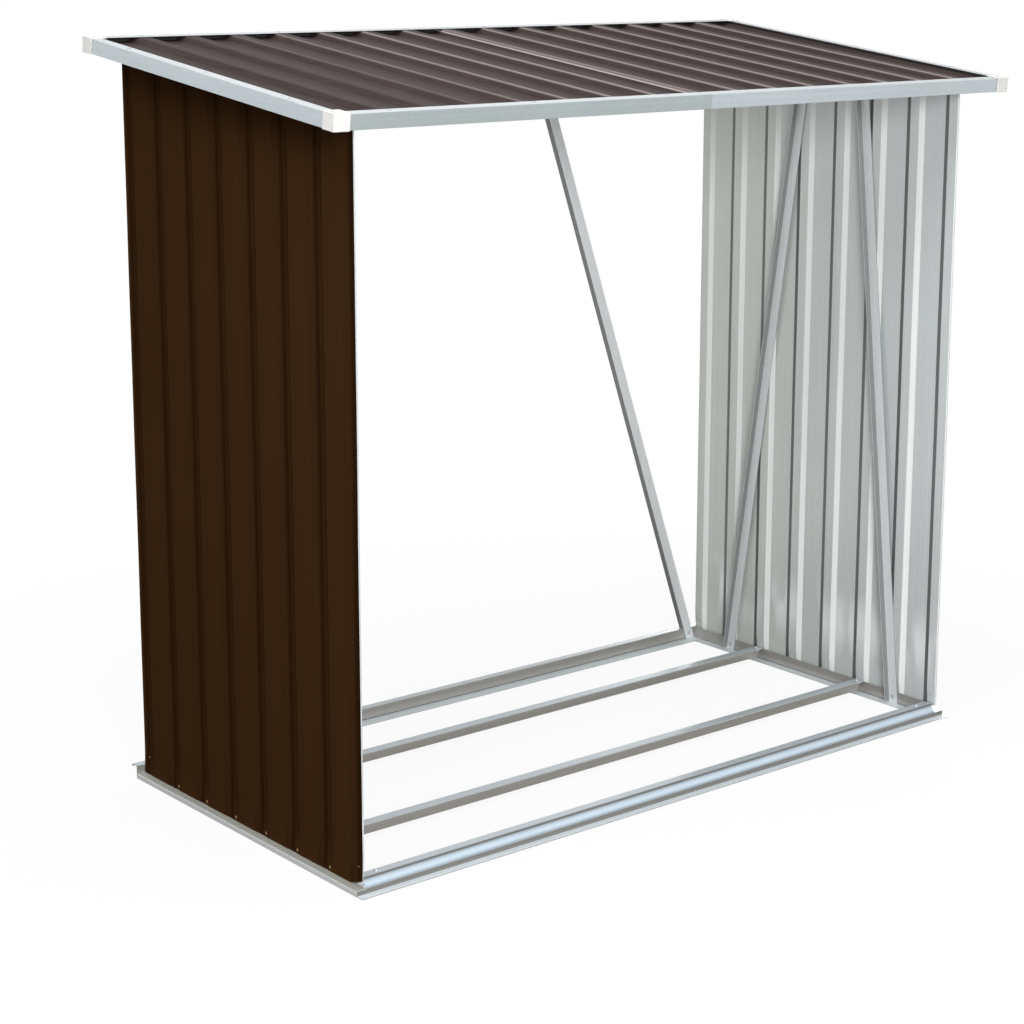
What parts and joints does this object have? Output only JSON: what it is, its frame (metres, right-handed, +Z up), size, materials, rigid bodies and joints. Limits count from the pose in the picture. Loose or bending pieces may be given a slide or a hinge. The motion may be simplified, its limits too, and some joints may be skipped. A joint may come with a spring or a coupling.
{
  "type": "log store",
  "caption": "Open-fronted and open-backed log store with profiled sheet side walls, a sloping sheet roof with edge trims and corner caps, braces, and a raised floor frame.",
  "frame": {"origin": "middle of the whole outline, on the ground", "axes": "+X along the length, to the right seen from the open front; +Y to the rear; +Z up"},
  "size_m": [1.756, 0.871, 1.54],
  "materials": {
    "galvanised_steel": "galvanised",
    "brown_sheet": "satin coating",
    "cream_plastic": "moulded"
  },
  "bodies": {
    "root": {"front_base_rail": "galvanised_steel", "rear_base_rail": "galvanised_steel", "left_base_rail": "galvanised_steel", "right_base_rail": "galvanised_steel", "front_floor_beam": "galvanised_steel", "rear_floor_beam": "galvanised_steel", "left_top_rail": "galvanised_steel", "right_top_rail": "galvanised_steel", "front_trim_left": "galvanised_steel", "front_trim_right": "galvanised_steel", "rear_trim_left": "galvanised_steel", "rear_trim_right": "galvanised_steel", "left_trim": "galvanised_steel", "right_trim": "galvanised_steel", "rear_brace_left": "galvanised_steel", "rear_brace_right": "galvanised_steel", "left_brace_front": "galvanised_steel", "left_brace_rear": "galvanised_steel", "right_brace_front": "galvanised_steel", "right_brace_rear": "galvanised_steel", "left_wall": "brown_sheet", "right_wall": "brown_sheet", "roof_sheet_left": "brown_sheet", "roof_sheet_right": "brown_sheet", "front_left_cap": "cream_plastic", "front_right_cap": "cream_plastic", "rear_left_cap": "cream_plastic", "rear_right_cap": "cream_plastic"}
  },
  "joints": []
}
